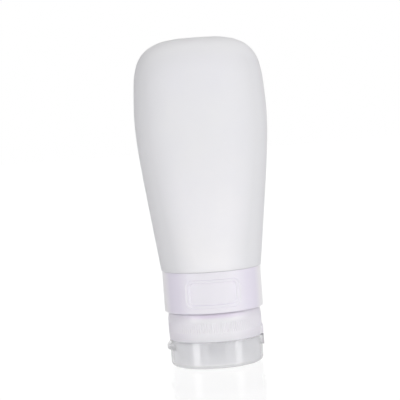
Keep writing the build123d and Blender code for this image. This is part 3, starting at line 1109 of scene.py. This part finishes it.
@dataclass
class ScrewCap:
    """The frosted cap: grip ribs outside, thread inside, a deck with the nozzle and the spigot."""

    radius: float = 18.65
    foot_radius: float = 18.5
    foot_rise: float = 3.2
    bore: float = 16.75
    deck: float = 1.5
    shoulder_drop: float = 3.0
    shoulder_step: float = 0.5
    shoulder_round: float = 1.2
    spigot_outer: float = 16.7
    spigot_inner: float = 15.8
    spigot_drop: float = 1.3
    nozzle_drop: float = 3.9
    nozzle_tip: float = 5.2
    nozzle_radius: float = 7.7
    waist_drop: float = 1.6
    orifice: float = 3.6
    pocket: float = 6.2
    pocket_floor_rise: float = 2.0
    bead_rise: float = 4.85
    bead_reach: float = 0.3
    bead_half_height: float = 0.2
    edge_round: float = 0.1
    seam_reach: float = 0.07
    groove_pitch: float = 1.0
    groove_radius: float = 0.32
    groove_depth: float = 0.17
    groove_rise: float = 3.3
    groove_length: float = 4.2
    groove_fade: float = 0.3
    thread_rise: float = 1.15
    thread_angle: float = -54.0
    thread_row: float = 0.2
    points_per_groove: int = 8
    leaf_height: float = 3.6
    thread: ScrewThread = ScrewThread()

    def __post_init__(self) -> None:
        """Take the cap's levels from the frame and place its hinge leaf."""
        low, high = node_span("cap_base")
        self.nozzle_bottom, self.top = low.z, high.z + self.seam_reach
        self.deck_top = self.nozzle_bottom + self.nozzle_drop + self.deck
        self.bottom = self.deck_top - self.deck - self.seam_reach
        self.pocket_floor = self.nozzle_bottom + self.pocket_floor_rise
        self.bead_level = self.nozzle_bottom + self.bead_rise
        self.groove_bottom = self.bottom + self.groove_rise
        self.groove_top = self.groove_bottom + self.groove_length
        self.groove_count = round(2 * math.pi * self.radius / self.groove_pitch)
        self.thread_level = node_span("neck_insert")[0].z + self.thread_rise
        leaf_bottom = node_span("hinge_web")[1].z
        self.leaf = HingeLeaf(leaf_bottom, leaf_bottom + self.leaf_height, sloped_top=True)

    def outline(self) -> list[Point]:
        """Outline of the cap, with close rows on the threaded wall and at the ribs."""
        edge = self.edge_round
        spigot_bottom = self.bottom - self.spigot_drop
        corners = rounded([
            (self.orifice, self.nozzle_bottom, edge),
            (self.nozzle_tip, self.nozzle_bottom, 2 * edge),
            (self.nozzle_radius, self.bottom - self.waist_drop, edge),
            (self.nozzle_radius, self.bottom, edge),
            (self.spigot_inner, self.bottom, edge),
            (self.spigot_inner, spigot_bottom, edge),
            (self.spigot_outer, spigot_bottom, edge),
            (self.spigot_outer, self.bottom, 0),
            (self.foot_radius, self.bottom, edge),
            (self.radius, self.bottom + self.foot_rise, 0),
            (self.radius, self.top - self.shoulder_drop, 0),
            (self.radius - self.shoulder_step, self.top, self.shoulder_round),
            (self.bore, self.top, edge),
            (self.bore, self.deck_top, edge),
            (self.pocket, self.deck_top, edge),
            (self.pocket, self.bead_level + self.bead_half_height, 0),
            (self.pocket - self.bead_reach, self.bead_level, 0),
            (self.pocket, self.bead_level - self.bead_half_height, 0),
            (self.pocket, self.pocket_floor, 0),
            (self.orifice, self.pocket_floor, edge),
        ], arc_steps=4)
        fade = self.groove_fade
        ribs = [self.groove_bottom, self.groove_bottom + fade, self.groove_top - fade, self.groove_top]
        corners = close_rows(corners, self.bore, self.thread_row)
        return with_rows(corners, self.foot_radius - TOUCH, ribs + self.leaf.rows())

    def groove(self, height: float, angle: float) -> float:
        """Depth of the grip grooves at a point."""
        pitch = 2 * math.pi / self.groove_count
        off = abs((angle + pitch / 2) % pitch - pitch / 2) * self.radius
        arc = math.sqrt(max(0.0, self.groove_radius**2 - off**2))
        depth = max(0.0, arc - self.groove_radius + self.groove_depth)
        ends = min(height - self.groove_bottom, self.groove_top - height)
        return depth * smooth_step(ends / self.groove_fade)

    def shape(self, radius: float, height: float, angle: float) -> Point:
        """Cut the grip ribs, raise the thread and draw out the hinge leaf."""
        if radius > self.foot_radius - TOUCH:
            return max(radius - self.groove(height, angle), self.leaf.reach(height, angle)), height
        if meets(radius, self.bore) and self.deck_top < height < self.top:
            return radius - self.thread.lift(height, angle, self.thread_level, self.thread_angle), height
        return radius, height

    def build(self) -> list[Piece]:
        """Build the cap."""
        angles = even_angles(self.groove_count * self.points_per_groove, self.leaf.edges(self.radius))
        piece = skin("frosted_screw_cap", turned_rings(self.outline(), angles, self.shape), closed=True)
        return [settle(piece, Finishes.FROSTED.value, "cap_base", Body.CAP)]


# The flip lid


@dataclass
class FlipLid:
    """The clear lid: a shallow cup with a plug, a crescent thumb lip and its hinge leaf."""

    radius: float = 18.5
    bore: float = 17.0
    face: float = 1.6
    edge_round: float = 1.8
    inner_round: float = 0.8
    small_round: float = 0.08
    plug_outer: float = 3.3
    plug_inner: float = 2.4
    plug_entry: float = 0.8
    lip_reach: float = 1.2
    lip_half_angle: float = 31.0
    lip_height: float = 3.0
    lip_below_rim: float = 0.7
    lip_slope: float = 1.3
    lip_round: float = 0.35
    centre_radius: float = 0.4
    seam_reach: float = 0.06
    points: int = 420
    leaf_height: float = 3.6
    leaf_gap: float = 0.05

    def __post_init__(self) -> None:
        """Take the lid's levels from the frame and work out the lip's circle."""
        self.rim = node_span("flip_lid")[1].z + self.seam_reach
        self.plug_top = node_span("cap_base")[0].z + self.plug_entry
        leaf_top = node_span("hinge_web")[0].z - self.leaf_gap
        self.leaf = HingeLeaf(leaf_top - self.leaf_height, leaf_top)
        tip = self.radius + self.lip_reach
        spread = math.cos(math.radians(self.lip_half_angle))
        self.lip_offset = (tip**2 - self.radius**2) / (2 * (tip - self.radius * spread))
        self.lip_radius = tip - self.lip_offset
        self.lip_top = self.rim - self.lip_below_rim
        self.lip_bottom = self.lip_top - self.lip_height

    def lip_wall(self, height: float, angle: float) -> float:
        """Distance from the axis to the thumb lip, or 0 where there is none.

        Args:
            height: Height of the point.
            angle: Its angle, with the lip at half a turn.

        Returns:
            The distance, in millimetres.
        """
        if not self.lip_bottom < height < self.lip_top or off_axis(angle, math.pi) > SECTOR:
            return 0.0
        circle = self.lip_radius
        from_bottom = height - self.lip_bottom
        if from_bottom < self.lip_round:
            circle -= self.lip_round - math.sqrt(self.lip_round**2 - (self.lip_round - from_bottom) ** 2)
        circle -= self.lip_reach * max(0.0, height - self.lip_top + self.lip_slope) / self.lip_slope
        off = off_axis(angle, math.pi)
        return self.lip_offset * math.cos(off) + math.sqrt(circle**2 - (self.lip_offset * math.sin(off)) ** 2)

    def shape(self, radius: float, height: float, angle: float) -> Point:
        """Draw out the lip and the hinge leaf from the outer wall."""
        if radius < self.radius - TOUCH:
            return radius, height
        return max(radius, self.lip_wall(height, angle), self.leaf.reach(height, angle)), height

    def rings(self) -> Rings:
        """Rings from the middle of the outer face up the wall, down the inside and over the plug."""
        corners = rounded([
            (self.centre_radius, 0, 0),
            (self.radius, 0, self.edge_round),
            (self.radius, self.rim, self.small_round),
            (self.bore, self.rim, self.small_round),
            (self.bore, self.face, self.inner_round),
            (self.plug_outer, self.face, self.inner_round / 2),
            (self.plug_outer, self.plug_top, 2 * self.small_round),
            (self.plug_inner, self.plug_top, 2 * self.small_round),
            (self.plug_inner, self.face, self.inner_round / 2),
            (self.centre_radius, self.face, 0),
        ])
        rows = [self.lip_bottom + self.lip_round * share for share in (0.0, 0.03, 0.12, 0.3, 0.6, 1.0)]
        rows += [self.lip_top - self.lip_slope * share for share in (0.0, 0.5, 1.0)] + self.leaf.rows()
        outline = with_rows(corners[:-1], self.radius - TOUCH, rows) + corners[-1:]
        angles = even_angles(self.points, self.leaf.edges(self.radius))
        return turned_rings(outline, angles, self.shape)

    def build(self) -> list[Piece]:
        """Build the lid."""
        piece = skin("clear_flip_lid", self.rings(), closed=False)
        return [settle(piece, Finishes.LID.value, "flip_lid", Body.LID)]


@dataclass
class HingeStrap:
    """The thin web that bends between the cap's leaf and the lid's leaf."""

    corner_round: float = 0.08
    spans: int = 8

    def build(self) -> list[Piece]:
        """Build the strap as a straight block over the hinge web's span."""
        low, high = node_span("hinge_web")
        section = oblong((low.x, low.y), (high.x, high.y), self.corner_round)
        rings = [[Vector((x, y, level)) for x, y in section] for level in spread(low.z, high.z, self.spans)]
        piece = skin("hinge_strap", rings, closed=False)
        piece.data.materials.append(Finishes.LID.value.material())
        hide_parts("hinge_web")
        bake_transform(piece)
        return [piece]


@dataclass
class InnerSeals:
    """The sealing ring, the slit valve and its snap ring, which keep their CAD shapes."""

    finishes: tuple[tuple[str, Finishes], ...] = (
        ("seal_gasket", Finishes.SEAL),
        ("flow_valve", Finishes.VALVE),
        ("valve_retainer", Finishes.NATURAL),
    )

    def build(self) -> list[Piece]:
        """Give each of these CAD pieces its finish."""
        pieces = []
        for node, finish in self.finishes:
            piece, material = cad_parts[node], finish.value.material()
            if not piece.material_slots:
                piece.data.materials.append(material)
            for material_slot in piece.material_slots:
                material_slot.material = material
            pieces.append(piece)
        return pieces


# The studio


@dataclass(frozen=True)
class Softbox:
    """A tall soft light: angle to the right of the camera in degrees, sizes, and power in watts."""

    azimuth: float
    power: float
    distance: float = 420.0
    width: float = 140.0
    height: float = 300.0
    rise_share: float = 0.55
    aim_share: float = 0.2


@dataclass(frozen=True)
class FloorSheet:
    """The floor as one kind of ray meets it: its glow, its share of gloss and that gloss's blur."""

    glow: float
    gloss: float
    blur: float


@dataclass
class Studio:
    """Camera, pale glossy floor, soft surroundings and two tall softboxes, in millimetres."""

    camera_place: Corner = (-2.5, -600.0, 101.5)
    camera_target: Corner = (-2.55, 0.0, 65.5)
    camera_roll: float = 4.06
    seen_width: float = 159.7
    bright_side: Corner = (0.28, -0.83, 0.48)
    bright_level: float = 1.3
    light_colour: Colour = (1.0, 0.995, 1.0)
    clip_range: Point = (10.0, 50000.0)
    dark_lean: float = -0.25
    backdrop_leans: Point = (-0.7, -0.85)
    mirrored_leans: Point = (-0.35, -0.6)
    gloss_fill: float = 0.35
    floor_size: float = 6000.0
    seen_floor: FloorSheet = FloorSheet(glow=1.0, gloss=0.12, blur=0.12)
    mirrored_floor: FloorSheet = FloorSheet(glow=0.75, gloss=0.35, blur=0.05)
    softboxes: tuple[Softbox, ...] = (Softbox(azimuth=-52.0, power=1.5), Softbox(azimuth=55.0, power=1.2))

    def camera(self) -> None:
        """Put the camera at the photograph's angle."""
        spot, target = Vector(self.camera_place), Vector(self.camera_target)
        lens = bpy.data.cameras.new("photo_camera")
        lens.sensor_fit = "HORIZONTAL"
        lens.angle = 2 * math.atan(self.seen_width / 2 / abs(spot.y))
        lens.clip_start, lens.clip_end = (distance * MM for distance in self.clip_range)
        camera = stand(lens, spot, target)
        camera.matrix_world = camera.matrix_world @ Matrix.Rotation(math.radians(-self.camera_roll), 4, "Z")
        bpy.context.scene.camera = camera

    def surroundings(self) -> None:
        """White behind the bottle; for light and reflections, bright in front and dimmer behind."""
        world = bpy.data.worlds.new("white_studio")
        bpy.context.scene.world = world
        tree = self.bare_tree(world)
        lean = place(tree, "VectorMath", {"operation": "DOT_PRODUCT"})
        fill(tree, lean.inputs[0], place(tree, "TexCoord").outputs["Generated"])
        fill(tree, lean.inputs[1], self.bright_side)
        facing = lean.outputs["Value"]
        front = ramp(tree, facing, self.dark_lean, 1.0, To_Max=self.bright_level)
        backdrop = ramp(tree, facing, *self.backdrop_leans)
        glossy = place(tree, "LightPath").outputs["Is Glossy Ray"]
        mirrored = calculated(tree, "ADD", ramp(tree, facing, *self.mirrored_leans), self.gloss_fill)
        behind = calculated(tree, "MAXIMUM", backdrop, calculated(tree, "MULTIPLY", mirrored, glossy))
        level = calculated(tree, "ADD", front, behind)
        dim = place(tree, "Background", Color=self.light_colour, Strength=level)
        white = place(tree, "Background", Color=WHITE, Strength=1.0)
        self.show(tree, "OutputWorld", dim.outputs[0], white.outputs[0])

    def bare_tree(self, owner: bpy.types.World | bpy.types.Material) -> Tree:
        """Emptied node tree of a world or a material."""
        owner.use_nodes = True
        owner.node_tree.nodes.clear()
        return owner.node_tree

    def show(self, tree: Tree, output: str, lighting: Socket, seen: Socket) -> None:
        """End a tree with one shader for what the camera sees, also through clear plastic, and one for light.

        Args:
            tree: The tree to end.
            output: The type of its output node.
            lighting: The shader that lights the bottle and is mirrored in it.
            seen: The shader that the camera sees.
        """
        ray = place(tree, "LightPath")
        sight = calculated(tree, "MAXIMUM", ray.outputs["Is Camera Ray"], ray.outputs["Is Transmission Ray"])
        place(tree, output, Surface=self.mixed(tree, sight, lighting, seen))

    def mixed(self, tree: Tree, share: object, first: Socket, second: Socket) -> Socket:
        """Mix of two shaders by a share."""
        mix = place(tree, "MixShader")
        for index, value in enumerate((share, first, second)):
            fill(tree, mix.inputs[index], value)
        return mix.outputs[0]

    def floor(self) -> None:
        """Lay the floor: white to the camera, a dimmer polished sheet in the bottle's reflections."""
        half = self.floor_size / 2
        corners = [Vector((x * half, y * half, 0)) for x, y in ((-1, -1), (1, -1), (1, 1), (-1, 1))]
        plane = mesh_object("studio_floor", corners, [(0, 1, 2, 3)], Edge.SOFT)
        material = bpy.data.materials.new("pale_floor")
        tree = self.bare_tree(material)
        sheets = []
        for sheet in (self.mirrored_floor, self.seen_floor):
            glow = place(tree, "Emission", Color=WHITE, Strength=sheet.glow)
            gloss = place(tree, "BsdfGlossy", Color=WHITE, Roughness=sheet.blur)
            sheets.append(self.mixed(tree, sheet.gloss, glow.outputs[0], gloss.outputs[0]))
        self.show(tree, "OutputMaterial", *sheets)
        plane.data.materials.append(material)

    def light(self, box: Softbox) -> None:
        """Stand a softbox beside the camera.

        Args:
            box: Its place, sizes and power.
        """
        light = bpy.data.lights.new("softbox", "AREA")
        light.shape = "RECTANGLE"
        light.size, light.size_y = box.width * MM, box.height * MM
        light.energy = box.power
        turn = math.radians(box.azimuth)
        across, along = box.distance * math.sin(turn), -box.distance * math.cos(turn)
        spot = Vector((across, along, box.height * box.rise_share))
        stand(light, spot, Vector((0, 0, box.height * box.aim_share))).visible_diffuse = False

    def build(self) -> None:
        """Set the camera, the surroundings, the floor and the lights."""
        self.camera()
        self.surroundings()
        self.floor()
        for box in self.softboxes:
            self.light(box)
        bpy.context.scene.view_settings.view_transform = "Standard"


def main() -> None:
    """Build the studio, then the bottle from its body down to its lid."""
    logging.basicConfig(level=logging.INFO, format="%(name)s: %(message)s")
    Studio().build()
    assemblies = (SiliconeBody(), Neck(), WindowCollar(), ScrewCap(), FlipLid(), HingeStrap(), InnerSeals())
    for assembly in assemblies:
        for piece in assembly.build():
            LOG.info("%s: %s with %d faces", type(assembly).__name__, piece.name, len(piece.data.polygons))


if __name__ == "__main__":
    main()
